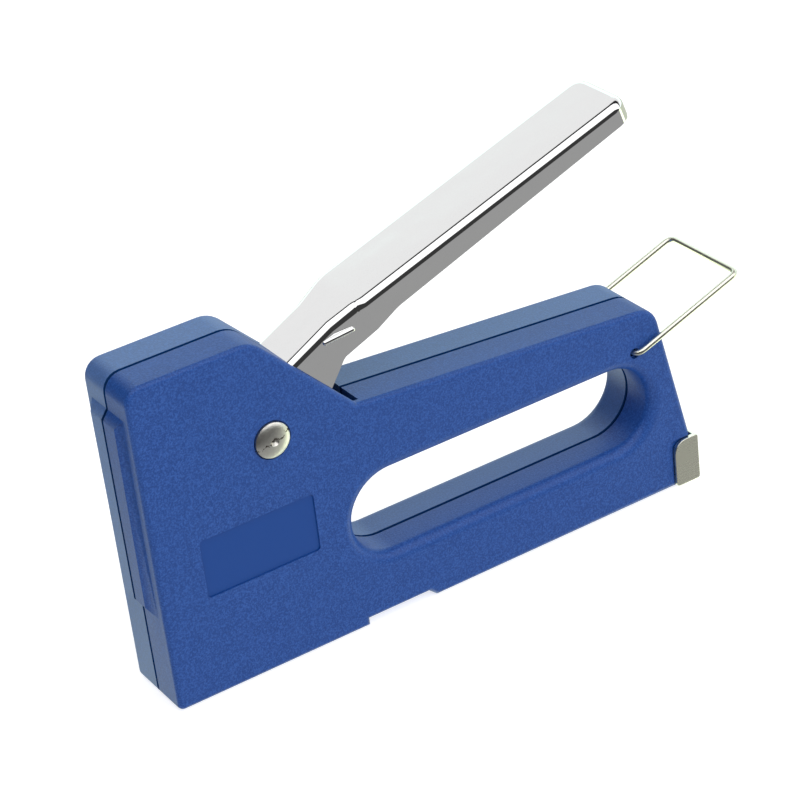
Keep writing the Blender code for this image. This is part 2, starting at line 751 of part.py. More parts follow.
# ---- Lever --------------------------------------------------------------------------------------
def lever_outline():
    """Side outline of the lever at rest: arm, hub, neck, heel and handle."""
    along = Vector((math.cos(LEVER_ANGLE), math.sin(LEVER_ANGLE)))
    down = Vector((along.y, -along.x))
    bend = PIVOT + BEND_FROM_PIVOT
    tip_top = bend + along * LEVER_REACH
    tip_foot = tip_top + down * TIP_DEPTH
    heel = bend + along * HEEL_BEHIND_BEND + down * HEEL_DEPTH
    neck = Vector((math.cos(NECK_ANGLE), math.sin(NECK_ANGLE)))
    neck_front = bend - neck * NECK_FRONT_REACH
    arm = Vector((-math.cos(ARM_REST), -math.sin(ARM_REST)))
    up = Vector((arm.y, -arm.x))
    finger = PIVOT + arm * (ARM_REACH / math.cos(ARM_REST))
    half = LIFT_PIN / 2 + GAP + ARM_END
    return [(neck_front, 0.001), (PIVOT + arm * HUB_TOP[0] + up * HUB_TOP[1], 0.004),
            (finger + arm * half + up * half, 0.0022), (finger + arm * half - up * half, 0.0022),
            (PIVOT + arm * HUB_FOOT[0] - up * HUB_FOOT[1], 0.006), (PIVOT + HUB_REAR_FROM_PIVOT, 0.004),
            (PIVOT + HEEL_FROM_PIVOT, 0.004), (heel, 0.010), (tip_foot, 0), (tip_top, 0), (bend, 0.012)]


def lever_shape():
    """The lever's solid outer form: a narrow neck that flares into the handle."""
    shape = outline_shape([rounded(lever_outline(), steps=5)], -LEVER_HALF_WIDTH, LEVER_HALF_WIDTH)
    along = lever_direction().to_3d().xzy
    start = (PIVOT + BEND_FROM_PIVOT).to_3d().xzy - along * FLARE_BEFORE_BEND
    for place in (start, start + along * NECK_FLARE):
        bmesh.ops.bisect_plane(shape, geom=shape.verts[:] + shape.edges[:] + shape.faces[:],
                               plane_co=place, plane_no=along, dist=0.00001)
    for vert in shape.verts:
        share = min(max((vert.co - start).dot(along) / NECK_FLARE, 0), 1)
        width = NECK_HALF_WIDTH + (LEVER_HALF_WIDTH - NECK_HALF_WIDTH) * share
        vert.co.y = math.copysign(width, vert.co.y)
    round_lever_edges(shape)
    return shape


def lever_direction():
    return Vector((math.cos(LEVER_ANGLE), math.sin(LEVER_ANGLE)))


def round_lever_edges(shape):
    """Rounds the tip's two corners in plan, then the long top edges of neck and handle."""
    along = lever_direction().to_3d().xzy
    up = Vector((-along.z, 0, along.x))
    bend = (PIVOT + BEND_FROM_PIVOT).to_3d().xzy

    def at_tip(edge):
        run = edge.verts[1].co - edge.verts[0].co
        middle = (edge.verts[0].co + edge.verts[1].co) / 2 - bend
        return abs(run.normalized().dot(up)) > 0.98 and middle.dot(along) > LEVER_REACH - 0.001

    def on_top(edge):
        middle = (edge.verts[0].co + edge.verts[1].co) / 2
        if len(edge.link_faces) != 2 or edge.calc_face_angle() < 0.9 or middle.x < PIVOT_X:
            return False
        return len([face for face in edge.link_faces if face.normal.dot(up) > 0.8]) == 1

    bmesh.ops.bevel(shape, geom=[edge for edge in shape.edges if at_tip(edge)], offset=TIP_CORNER,
                    affect="EDGES", segments=4, profile=0.5, material=-1)
    bmesh.ops.bevel(shape, geom=[edge for edge in shape.edges if on_top(edge)], offset=LEVER_EDGE,
                    affect="EDGES", segments=4, profile=0.5, material=-1)


def neck_hollow():
    """The space between the cheeks: under the neck's top, and everything ahead of it."""
    along = lever_direction()
    down = Vector((along.y, -along.x))
    neck = Vector((math.cos(NECK_ANGLE), math.sin(NECK_ANGLE)))
    under = Vector((neck.y, -neck.x)) * LEVER_SHEET
    bend = PIVOT + BEND_FROM_PIVOT
    front = bend - neck * (NECK_FRONT_REACH - 0.0012) + under
    rear = bend + along * (NECK_FLARE - FLARE_BEFORE_BEND + 0.001)
    return [rear + down * LEVER_SHEET, bend + down * LEVER_SHEET, front, front + Vector((0, 0.02)),
            Vector((-0.02, front.y + 0.02)), Vector((-0.02, PIVOT_Z - 0.03)), rear + down * 0.03]


def handle_hollow():
    """The hollow under the handle, with rounded corners at its tip."""
    along = lever_direction()
    down = Vector((along.y, -along.x))
    bend = PIVOT + BEND_FROM_PIVOT
    front = bend + along * (NECK_FLARE - FLARE_BEFORE_BEND)
    tip = bend + along * (LEVER_REACH - LEVER_SHEET)
    half = LEVER_HALF_WIDTH - LEVER_SHEET
    shape = outline_shape([[front + down * LEVER_SHEET, front + down * 0.03, tip + down * 0.03,
                            tip + down * LEVER_SHEET]], -half, half)
    corners = [edge for edge in shape.edges
               if all(abs((vert.co.xz - tip).dot(along)) < 0.00001 for vert in edge.verts)
               and abs(edge.verts[0].co.y - edge.verts[1].co.y) < 0.00001]
    bmesh.ops.bevel(shape, geom=corners, offset=TIP_CORNER - LEVER_SHEET, affect="EDGES", segments=4,
                    profile=0.5, material=-1)
    return to_mesh(shape, "handle_hollow")


def lever():
    body = add_part("lever", to_mesh(lever_shape(), "lever"), CHROME, LEVER_AXIS)
    inner = NECK_HALF_WIDTH - LEVER_SHEET
    boolean(body, add_cutter("handle_hollow", handle_hollow()))
    boolean(body, add_cutter("neck_hollow", slab([neck_hollow()], -inner, inner)))
    hole = cylinders([across(PIVOT, -HALF_WIDTH, HALF_WIDTH)], RIVET_DIAMETER + 2 * GAP)
    boolean(body, add_cutter("lever_pivot_hole", hole))
    arm = Vector((-math.cos(ARM_REST), -math.sin(ARM_REST)))
    slot = stadium(PIVOT + arm * (ARM_REACH / math.cos(ARM_REST)), PIVOT + arm * (ARM_REACH - GAP),
                   LIFT_PIN / 2 + GAP, steps=6)
    boolean(body, add_cutter("lever_arm_slots", slab([slot], -HALF_WIDTH, HALF_WIDTH)))
    smooth(body)


def rivet():
    """The pivot rivet: a dome on the near side, a clenched tail over a washer on the far side."""
    shaft = RIVET_DIAMETER / 2
    head = RIVET_HEAD / 2
    seat = HALF_WIDTH - RIVET_RECESS + GAP
    dome = []
    for step in range(6):
        angle = math.pi / 2 * step / 5
        dome.append((head * math.sin(angle), seat + RIVET_DOME * (0.25 + 0.75 * math.cos(angle))))
    tail = seat + WASHER_SHEET + GAP
    end = tail + RIVET_TAIL
    profile = dome + [(head, seat), (shaft, seat), (shaft, -tail), (shaft * 1.5, -tail),
                      (shaft * 1.35, -end + RIVET_TAIL / 3), (shaft * 0.8, -end), (0, -end)]
    place = (PIVOT_X, 0, PIVOT_Z)
    turned("pivot_rivet", profile, NICKEL, place, (0, -1, 0))
    rim = head - GAP / 2
    bore = shaft + GAP
    ring = [(rim, WASHER_SHEET), (rim, 0), (bore, 0), (bore, WASHER_SHEET), (rim, WASHER_SHEET)]
    turned("pivot_washer", ring, NICKEL, (PIVOT_X, seat, PIVOT_Z), (0, 1, 0))


def return_spring():
    """A torsion spring round the rivet, between the lever's cheeks, with one leg under the neck."""
    half = NECK_HALF_WIDTH - LEVER_SHEET - RETURN_WIRE / 2 - RUNNING
    points = coil((PIVOT_X, -half, PIVOT_Z), (0, 1, 0), RETURN_RADIUS, 2 * half, RETURN_TURNS, 10)
    first = points[0] - Vector((PIVOT_X, -half, PIVOT_Z))
    forward = Vector((0, 1, 0)).cross(first).normalized()
    points = [points[0] - forward * 0.005] + points + [points[-1] + forward * 0.006]
    wire("return_spring", points, RETURN_WIRE, STEEL, LEVER_AXIS)


# ---- Drive --------------------------------------------------------------------------------------
def drive():
    plunger = add_part("plunger", box((PLUNGER_X, -PLUNGER_HALF_WIDTH, PLUNGER_FOOT),
                                      (PLUNGER_X + PLUNGER_LENGTH, PLUNGER_HALF_WIDTH, PLUNGER_TOP), 0.0006),
                       DARK_STEEL, PLUNGER_LINE)
    lift_way = across((LIFT_PIN_X, LIFT_PIN_Z), -HALF_WIDTH, HALF_WIDTH)
    boolean(plunger, add_cutter("lift_pin_hole", cylinders([lift_way], LIFT_PIN + 2 * GAP)))
    pin_z = LIFT_PIN_Z - LIFT_PIN / 2 - BLADE_PIN / 2 - BLADE_PIN_BELOW_LIFT_PIN
    behind = BLADE_X + BLADE_SHEET + BLADE_PIN_DEPTH
    boolean(plunger, add_cutter("blade_pin_hole", cylinders([((0, 0, pin_z), (behind + GAP, 0, pin_z))],
                                                            BLADE_PIN + 2 * GAP)))
    half = CAVITY - RUNNING
    pin = LIFT_PIN / 2
    profile = [(0, half), (pin - DRAWN_EDGE, half), (pin, half - DRAWN_EDGE), (pin, DRAWN_EDGE - half),
               (pin - DRAWN_EDGE, -half), (0, -half)]
    turned("lift_pin", profile, STEEL, (LIFT_PIN_X, 0, LIFT_PIN_Z), (0, 1, 0), PLUNGER_LINE, 16)
    blade_top = PLUNGER_TOP - BLADE_BELOW_TOP
    blade = add_part("driver_blade", box((BLADE_X, -BLADE_HALF_WIDTH, BLADE_FOOT),
                                         (BLADE_X + BLADE_SHEET, BLADE_HALF_WIDTH, blade_top), 0.0001),
                     STEEL, PLUNGER_LINE)
    boolean(blade, add_cutter("blade_hole", cylinders([((0, 0, pin_z), (behind, 0, pin_z))],
                                                      BLADE_PIN + 2 * GAP)))
    head = BLADE_PIN_HEAD
    end = BLADE_X - GAP - behind
    profile = [(0, head), (BLADE_PIN * 0.8, head), (BLADE_PIN * 0.9, head * 0.6), (BLADE_PIN * 0.9, 0),
               (BLADE_PIN / 2, 0), (BLADE_PIN / 2, end), (0, end)]
    turned("blade_pin", profile, STEEL, (BLADE_X - GAP, 0, pin_z), (-1, 0, 0), PLUNGER_LINE, 16)
    half = POWER_WIRE / 2 + GAP
    foot = PLUNGER_TOP + half
    length = SEAT_TOP - SEAT_SHEET - half - foot
    points = coil((SPRING_X, 0, foot), (0, 0, 1), POWER_RADIUS, length, POWER_TURNS)
    wire("power_spring", points, POWER_WIRE, DARK_STEEL)
    add_part("spring_seat", box((PLUNGER_X + GAP, -CAVITY + GAP, SEAT_TOP - SEAT_SHEET),
                                (PLUNGER_X + PLUNGER_LENGTH + SEAT_SHEET, CAVITY - GAP, SEAT_TOP),
                                DRAWN_EDGE), STEEL)
    add_part("bumper", box((PLUNGER_X + BUMPER_BEHIND, -PLUNGER_HALF_WIDTH + GAP, SHELF_TOP + GAP),
                           (PLUNGER_X + PLUNGER_LENGTH, PLUNGER_HALF_WIDTH - GAP, PLUNGER_FOOT - GAP),
                           0.0008), RUBBER)
    add_part("nose_plate", box((PLATE_X, -PLATE_HALF_WIDTH, 0),
                               (PLATE_X + PLATE_SHEET, PLATE_HALF_WIDTH, PLATE_HEIGHT), DRAWN_EDGE), STEEL)


# ---- Magazine -----------------------------------------------------------------------------------
def upside_down_channel(low_x, high_x, half_width, foot, top, sheet, front_wall=0.0):
    """A folded channel, open below, as an outer box less an inner one."""
    shell = box((low_x, -half_width, foot), (high_x, half_width, top))
    inner_x = low_x + front_wall if front_wall else low_x - PAST
    hollow = box((inner_x, sheet - half_width, foot - PAST), (high_x + PAST, half_width - sheet, top - sheet))
    return shell, hollow


def magazine():
    shell, hollow = upside_down_channel(MAGAZINE_X, BODY_LENGTH - GAP, CHANNEL_HALF_WIDTH, CHANNEL_FOOT,
                                        CHANNEL_TOP, CHANNEL_SHEET)
    channel = add_part("magazine_channel", shell, DARK_STEEL)
    boolean(channel, add_cutter("channel_hollow", hollow))
    shell, hollow = upside_down_channel(RAIL_X, RAIL_END, RAIL_HALF_WIDTH, RAIL_TOP - RAIL_HEIGHT, RAIL_TOP,
                                        RAIL_SHEET, RAIL_FRONT_WALL)
    rail = add_part("staple_rail", shell, STEEL, DRAWER_LINE)
    boolean(rail, add_cutter("rail_hollow", hollow))
    slot = box((RAIL_X + RAIL_SLOT_START, -RAIL_SLOT / 2, ROD_Z),
               (BLOCK_X - GAP, RAIL_SLOT / 2, RAIL_TOP + PAST))
    boolean(rail, add_cutter("rail_slot", slot))
    rod_way = ((0, 0, ROD_Z), (RAIL_X + RAIL_FRONT_WALL + PAST, 0, ROD_Z))
    rod_hole = cylinders([rod_way], ROD_DIAMETER + 2 * GAP, 16)
    boolean(rail, add_cutter("rail_rod_hole", rod_hole))
    staples()
    pusher()
    tail_pieces()


def staples():
    """One glued strip of staples, astride the rail."""
    half = STAPLE_CROWN / 2
    shell, hollow = upside_down_channel(STRIP_X, STRIP_X + STRIP_LENGTH, half,
                                        STAPLE_TOP - STAPLE_WIRE - STAPLE_LEG, STAPLE_TOP, STAPLE_WIRE)
    strip = add_part("staple_strip", shell, STEEL, DRAWER_LINE)
    boolean(strip, add_cutter("strip_hollow", hollow))


def pusher():
    """The follower: a saddle on the rail, a web through its slot and a collar on the rod."""
    half = STAPLE_CROWN / 2 - GAP / 3
    end = PUSHER_X + PUSHER_LENGTH
    shell = box((PUSHER_X, -half, RAIL_TOP - PUSHER_SKIRT), (end, half, PUSHER_TOP))
    hollow = box((PUSHER_X - PAST, -RAIL_HALF_WIDTH - GAP, RAIL_TOP - PUSHER_SKIRT - PAST),
                 (end + PAST, RAIL_HALF_WIDTH + GAP, RAIL_TOP + GAP))
    body = add_part("pusher", shell, DARK_STEEL, PUSHER_LINE)
    boolean(body, add_cutter("pusher_hollow", hollow))
    web = box((PUSHER_X, -RAIL_SLOT / 2 + GAP, ROD_Z), (end, RAIL_SLOT / 2 - GAP, RAIL_TOP + 2 * GAP))
    boolean(body, add_cutter("pusher_web", web), "UNION")
    line = ((PUSHER_X, 0, ROD_Z), (end, 0, ROD_Z))
    boolean(body, add_cutter("pusher_collar", cylinders([line], COLLAR_DIAMETER, 20)), "UNION")
    longer = ((PUSHER_X - PAST, 0, ROD_Z), (end + PAST, 0, ROD_Z))
    boolean(body, add_cutter("pusher_bore", cylinders([longer], ROD_DIAMETER + 2 * GAP, 16)))
    wire_half = PUSHER_WIRE / 2 + GAP
    radius = COLLAR_DIAMETER / 2 - wire_half
    start = end + wire_half
    points = coil((start, 0, ROD_Z), (1, 0, 0), radius, BLOCK_X - wire_half - start, PUSHER_TURNS, 9)
    wire("pusher_spring", points, PUSHER_WIRE, STEEL, DRAWER_LINE)


def tail_pieces():
    """Rod, end block, rear cap and the rivet that holds the cap to the block."""
    low = RAIL_TOP - RAIL_HEIGHT + GAP
    half = RAIL_HALF_WIDTH - RAIL_SHEET - GAP
    high = RAIL_TOP - RAIL_SHEET - GAP
    block = add_part("rail_end_block", box((BLOCK_X, -half, low), (RAIL_END, half, high), 0.0003),
                     DARK_STEEL, DRAWER_LINE)
    rod_end = BLOCK_X + BLOCK_LENGTH / 2
    seats = [((BLOCK_X - PAST, 0, ROD_Z), (rod_end + GAP, 0, ROD_Z)),
             ((rod_end + ROD_WEB, 0, ROD_Z), (RAIL_END + PAST, 0, ROD_Z))]
    boolean(block, add_cutter("block_holes", cylinders(seats, ROD_DIAMETER + 2 * GAP, 16)))
    rod = cylinder_shape((RAIL_X + GAP, 0, ROD_Z), (rod_end, 0, ROD_Z), ROD_DIAMETER, 16)
    smooth(add_part("pusher_rod", to_mesh(rod, "pusher_rod"), STEEL, DRAWER_LINE))
    rear_cap()
    head = CAP_RIVET
    outer = CAP_X + CAP_SHEET + GAP
    rise = CAP_RIVET_HEAD
    depth = outer - rod_end - ROD_WEB - GAP
    profile = [(0, rise), (head * 0.6, rise), (head * 0.95, rise / 2), (head, 0), (head / 2, 0),
               (head / 2, -depth), (0, -depth)]
    turned("cap_rivet", profile, NICKEL, (outer, 0, ROD_Z), (1, 0, 0), DRAWER_LINE, 16)


def rear_cap():
    """The nickelled end plate, folded round the tail: a web with a flange along each side."""
    outer = CAP_HALF_WIDTH + CAP_SHEET
    low_x = CAP_X + CAP_SHEET - CAP_WRAP
    high_x = CAP_X + CAP_SHEET
    top = CAP_FOOT + CAP_HEIGHT
    side = rounded([((low_x, CAP_FOOT), 0.001), ((high_x, CAP_FOOT), 0.0008), ((high_x, top), 0.0008),
                    ((low_x, top), CAP_CORNER)], steps=5)
    shape = outline_shape([side], -outer, outer)
    folds = [edge for edge in shape.edges
             if abs(edge.verts[0].co.x - high_x) + abs(edge.verts[1].co.x - high_x) < 0.00001
             and abs(edge.verts[0].co.y - edge.verts[1].co.y) < 0.00001]
    bmesh.ops.bevel(shape, geom=folds, offset=CAP_FOLD, affect="EDGES", segments=3, profile=0.5, material=-1)
    cap = add_part("rear_cap", to_mesh(shape, "rear_cap"), NICKEL, DRAWER_LINE)
    hollow = box((low_x - PAST, -CAP_HALF_WIDTH, CAP_FOOT - PAST), (CAP_X, CAP_HALF_WIDTH, top + PAST))
    boolean(cap, add_cutter("cap_hollow", hollow))
    line = ((CAP_X - PAST, 0, ROD_Z), (high_x + PAST, 0, ROD_Z))
    boolean(cap, add_cutter("cap_hole", cylinders([line], CAP_RIVET + 2 * GAP, 16)))


# ---- Latch --------------------------------------------------------------------------------------
def latch_wire():
    """The wire loop that hooks over the pressed lever. Its side play lets it sit towards the far side."""
    near = LATCH_SIDE_PLAY - LATCH_WIDTH / 2
    far = LATCH_SIDE_PLAY + LATCH_WIDTH / 2
    corners = [((0, near + LATCH_TAIL, 0), 0), ((0, near, 0), LATCH_CORNER),
               ((LATCH_LENGTH, near, 0), LATCH_CORNER), ((LATCH_LENGTH, far, 0), LATCH_CORNER),
               ((0, far, 0), LATCH_CORNER), ((0, far - LATCH_TAIL, 0), 0)]
    points = rounded(corners, steps=5, closed=False)
    points = [point + LATCH_AXIS.location for point in points]
    loop = wire("latch_wire", points, LATCH_WIRE, NICKEL, LATCH_AXIS)
    loop.rotation_euler.y = -LATCH_ANGLE


clear_scene()
PARTS = new_collection("staple_gun")
CUTTERS = new_collection("cutters")
BLUE = look("blue_plastic", (0.032, 0.082, 0.32), 0, 0.45)
CHROME = look("chrome_sheet", (0.75, 0.76, 0.76), 1, 0.08)
NICKEL = look("nickel_plate", (0.55, 0.53, 0.48), 1, 0.3)
STEEL = look("bright_steel", (0.45, 0.45, 0.46), 1, 0.35)
DARK_STEEL = look("dark_steel", (0.12, 0.12, 0.13), 1, 0.45)
RUBBER = look("black_rubber", (0.02, 0.02, 0.02), 0, 0.8)
TOOL = bpy.data.objects.new("tool_frame", None)
PARTS.objects.link(TOOL)
TOOL.location.x = -ORIGIN_X
LEVER_AXIS = joint_empty("lever_axis", (PIVOT_X, 0, PIVOT_Z))
PLUNGER_LINE = joint_empty("plunger_line", (SPRING_X, 0, PLUNGER_FOOT))
DRAWER_LINE = joint_empty("drawer_line", (BODY_LENGTH, 0, ROD_Z))
PUSHER_LINE = joint_empty("pusher_line", (PUSHER_X, 0, ROD_Z))
LATCH_AXIS = joint_empty("latch_axis", (LATCH_X, 0, LATCH_Z))
housing()
screws()
rivet()
lever()
return_spring()
drive()
magazine()
latch_wire()
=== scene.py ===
"""Hand staple gun: the looks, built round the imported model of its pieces.

Metres, +Z up, with the foot of the nose at the origin.
"""
import math

import bmesh
import bpy
from mathutils import Matrix, Vector


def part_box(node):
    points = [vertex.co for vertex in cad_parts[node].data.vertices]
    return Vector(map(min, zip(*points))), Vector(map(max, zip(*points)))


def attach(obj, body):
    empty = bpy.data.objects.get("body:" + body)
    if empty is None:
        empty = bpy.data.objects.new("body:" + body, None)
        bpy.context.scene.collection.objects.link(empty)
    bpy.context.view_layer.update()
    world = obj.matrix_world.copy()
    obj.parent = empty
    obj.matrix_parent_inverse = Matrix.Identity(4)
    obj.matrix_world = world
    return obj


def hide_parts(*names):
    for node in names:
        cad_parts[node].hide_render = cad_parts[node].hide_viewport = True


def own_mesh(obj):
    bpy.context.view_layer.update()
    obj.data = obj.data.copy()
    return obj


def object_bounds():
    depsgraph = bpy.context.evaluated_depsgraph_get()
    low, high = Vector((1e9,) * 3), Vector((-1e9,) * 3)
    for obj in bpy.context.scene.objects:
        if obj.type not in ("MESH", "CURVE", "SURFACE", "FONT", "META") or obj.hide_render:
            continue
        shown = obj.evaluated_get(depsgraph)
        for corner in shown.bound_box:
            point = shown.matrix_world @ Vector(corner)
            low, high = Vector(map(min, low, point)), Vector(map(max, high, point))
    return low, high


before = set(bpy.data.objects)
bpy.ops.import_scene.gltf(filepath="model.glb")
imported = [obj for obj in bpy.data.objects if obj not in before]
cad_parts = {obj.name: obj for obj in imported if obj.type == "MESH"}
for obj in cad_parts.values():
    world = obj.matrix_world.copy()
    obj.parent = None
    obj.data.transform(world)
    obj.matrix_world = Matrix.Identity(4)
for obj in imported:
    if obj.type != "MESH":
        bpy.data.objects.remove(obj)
cad_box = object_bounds()


# ---- Housing halves -----------------------------------------------------------------------------
# Two mirrored shells, injection moulded in blue plastic and screwed together along the middle. The mould
# is spark-textured, apart from the smooth blank label recess on the near side. The joint between the halves
# is painted dark as painted shade for the shadow in the parting groove, and the far half is painted a little
# paler as a painted sheen for the brighter reflection on its top.
HOUSING_BLUE = (0.0050, 0.050, 0.245)
GRAIN_BLUE = (0.024, 0.102, 0.400)
LABEL_BLUE = (0.0030, 0.052, 0.258)
# Painted sheen: the far half is tinted paler, standing in for the brighter reflection on its top.
FAR_HALF_PAINTED_SHEEN = (0.50, 0.75, 0.95)
FAR_HALF_SHEEN_SHARE = 0.12
# Painted shade: a flat dark colour along the joint, standing in for the shadow in the parting groove.
JOINT_PAINTED_SHADE = (0.005, 0.030, 0.110)
JOINT_HALF = 0.00050
GRAIN = 0.00045
GRAIN_DEPTH = 0.00008
MOTTLE = 0.005
PLASTIC_IOR = 1.46
LABEL_LOW = (0.0095, 0.0285)
LABEL_HIGH = (0.0422, 0.0451)
LABEL_FLOOR_Y = -0.01055
LABEL_FLOOR_BAND = 0.0003
MERGE_WITHIN = 0.000012
FLAT_WITHIN = math.radians(0.4)


class Shade:
    """A socket of a node tree. Arithmetic on it adds Math nodes, and node() adds any other node."""

    def __init__(self, tree, socket=None):
        self.tree = tree
        self.socket = socket

    def node(self, kind, settings=None, sockets=None, output=0):
        made = self.tree.nodes.new(kind)
        for name, value in (settings or {}).items():
            if name == "stops":
                ramp = made.color_ramp
                while len(ramp.elements) < len(value):
                    ramp.elements.new(0.5)
                for element, (position, colour) in zip(ramp.elements, value):
                    element.position = position
                    element.color = (*colour, 1)
            else:
                setattr(made, name, value)
        for name, value in (sockets or {}).items():
            if isinstance(value, Shade):
                self.tree.links.new(value.socket, made.inputs[name])
            else:
                made.inputs[name].default_value = value
        return Shade(self.tree, made.outputs[output])

    def maths(self, operation, first, second=0.0):
        return self.node("ShaderNodeMath", {"operation": operation}, {0: first, 1: second})

    def __add__(self, other):
        return self.maths("ADD", self, other)

    __radd__ = __add__

    def __mul__(self, other):
        return self.maths("MULTIPLY", self, other)

    def __sub__(self, other):
        return self.maths("SUBTRACT", self, other)

    def __rsub__(self, other):
        return self.maths("SUBTRACT", other, self)

    def __truediv__(self, other):
        return self.maths("DIVIDE", self, other)

    def __abs__(self):
        return self.maths("ABSOLUTE", self)

    def __gt__(self, other):
        return self.maths("GREATER_THAN", self, other)

    def __lt__(self, other):
        return self.maths("LESS_THAN", self, other)


def new_finish(name, metallic=0.0):
    """A material with a Principled shader: (material, shader node, object-space position)."""
    material = bpy.data.materials.new(name)
    material.use_nodes = True
    tree = material.node_tree
    shader = tree.nodes["Principled BSDF"]
    shader.inputs["Metallic"].default_value = metallic
    place = Shade(tree).node("ShaderNodeTexCoord", output="Object")
    return material, shader, place


def feed(shader, socket, source):
    source.tree.links.new(source.socket, shader.inputs[socket])


def raise_bumps(shader, height, strength, depth):
    """Bumps that stand up to the depth, in metres, where the height is 1."""
    bump = height.node("ShaderNodeBump", sockets={"Strength": strength, "Distance": depth, "Height": height})
    feed(shader, "Normal", bump)


def parts_of(place):
    """The X, Y and Z of a position, each as a value."""
    return [place.node("ShaderNodeSeparateXYZ", sockets={"Vector": place}, output=axis) for axis in range(3)]


def blend_colours(factor, first, second):
    """The first colour where the factor is 0 and the second where it is 1."""
    ends = [end if isinstance(end, Shade) else (*end, 1) for end in (first, second)]
    return factor.node("ShaderNodeMix", {"data_type": "RGBA"}, {0: factor, 6: ends[0], 7: ends[1]}, output=2)


def cloud(place, size, detail=2.0, roughness=0.5):
    """Noise whose features are about the given size, in metres."""
    return place.node("ShaderNodeTexNoise", sockets={"Vector": place, "Scale": 1 / size, "Detail": detail,
                                                     "Roughness": roughness})


def moulded_blue():
    material, shader, place = new_finish("moulded_blue_plastic")
    shader.inputs["IOR"].default_value = PLASTIC_IOR
    along, across, height = parts_of(place)
    on_label_floor = (across < LABEL_FLOOR_Y) * (across > LABEL_FLOOR_Y - LABEL_FLOOR_BAND)
    label = ((along > LABEL_LOW[0]) * (along < LABEL_HIGH[0]) * (height > LABEL_LOW[1])
             * (height < LABEL_HIGH[1]) * on_label_floor)
    grained = 1 - label
    sparks = cloud(place, GRAIN, 2.0, 0.6)
    specks = place.node("ShaderNodeValToRGB", {"stops": [(0.42, (0, 0, 0)), (0.66, (1, 1, 1))]},
                        {"Fac": sparks})
    mottle = cloud(place, MOTTLE, 3.0)
    colour = blend_colours(specks * grained * 0.8, HOUSING_BLUE, GRAIN_BLUE)
    colour = blend_colours((mottle - 0.45) * grained * 0.3, colour, GRAIN_BLUE)
    colour = blend_colours(label, colour, LABEL_BLUE)
    # Painted sheen: the far half's colour is blended paler, standing in for the brighter reflection on its
    # top.
    colour = blend_colours((across > 0) * (across < -LABEL_FLOOR_Y) * FAR_HALF_SHEEN_SHARE, colour, FAR_HALF_PAINTED_SHEEN)
    feed(shader, "Base Color", colour)
    feed(shader, "Roughness", 0.33 + grained * 0.06 + sparks * grained * 0.10)
    raise_bumps(shader, sparks * grained, 0.8, GRAIN_DEPTH)
    # Painted shade: the joint is drawn in a flat dark diffuse, standing in for the shadow in the parting
    # groove.
    joint_shade = place.node("ShaderNodeBsdfDiffuse", sockets={"Color": (*JOINT_PAINTED_SHADE, 1)})
    body = Shade(place.tree, shader.outputs["BSDF"])
    mixed = place.node("ShaderNodeMixShader", sockets={0: abs(across) < JOINT_HALF, 1: body, 2: joint_shade})
    feed(place.tree.nodes["Material Output"], "Surface", mixed)
    return material


def merged_copy(node):
    """A bmesh of a node's mesh, its loose triangles merged and its flat faces joined."""
    shape = bmesh.new()
    shape.from_mesh(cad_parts[node].data)
    bmesh.ops.remove_doubles(shape, verts=shape.verts, dist=MERGE_WITHIN)
    bmesh.ops.dissolve_limit(shape, angle_limit=FLAT_WITHIN, verts=shape.verts, edges=shape.edges)
    return shape


def finished(name, shape, material, sharp=35, weighted=True, broken=0.0):
    """An object from a bmesh, smooth except over edges sharper than an angle in degrees.

    Those edges may be broken by a distance.
    """
    mesh = bpy.data.meshes.new(name)
    shape.to_mesh(mesh)
    shape.free()
    mesh.materials.clear()
    mesh.materials.append(material)
    for polygon in mesh.polygons:
        polygon.material_index = 0
    mesh.shade_smooth()
    mesh.set_sharp_from_angle(angle=math.radians(sharp))
    piece = bpy.data.objects.new(name, mesh)
    bpy.context.scene.collection.objects.link(piece)
    if broken:
        edge = piece.modifiers.new("broken_edges", "BEVEL")
        edge.width = broken
        edge.segments = 2
        edge.limit_method = "ANGLE"
        edge.angle_limit = math.radians(sharp)
        edge.use_clamp_overlap = True
    if weighted:
        even = piece.modifiers.new("even_shading", "WEIGHTED_NORMAL")
        even.keep_sharp = True
        even.weight = 80
    return piece


def fit(piece, node, body):
    """Puts a finished piece in a node's place on its body."""
    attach(piece, body)
    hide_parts(node)
    return piece


housing_finish = moulded_blue()
for half in ("housing_right", "housing_left"):
    fit(finished(f"{half}_shell", merged_copy(half), housing_finish, sharp=25), half, "body")


# ---- Steel finishes on the inner pieces ---------------------------------------------------------
# Sheet, bar and wire pieces of the drive and the magazine, some zinc-plated and some left dark and oiled.
# They show when the lever is up, at the nose's foot and when the drawer is pulled out.
DRAWN_LINES = (0.002, 0.0002, 0.0002)
DRAWN_DEPTH = 0.000004
SMUDGE = 0.012
GLOSS_SPREAD = 0.12


def metal(name, colour, roughness):
    """A metal with long fine drawing lines along X and a little unevenness in its gloss."""
    material, shader, place = new_finish(name, 1.0)
    stretched = place.node("ShaderNodeMapping",
                           sockets={"Vector": place, "Scale": [1 / size for size in DRAWN_LINES]})
    lines = place.node("ShaderNodeTexNoise", sockets={"Vector": stretched, "Scale": 1.0, "Detail": 2.0})
    smudges = cloud(place, SMUDGE, 3.0)
    feed(shader, "Base Color", blend_colours(smudges * 0.5, colour, [part * 0.82 for part in colour]))
    feed(shader, "Roughness", roughness + (smudges + lines * 0.5 - 0.5) * GLOSS_SPREAD)
    raise_bumps(shader, lines, 0.4, DRAWN_DEPTH)
    return material


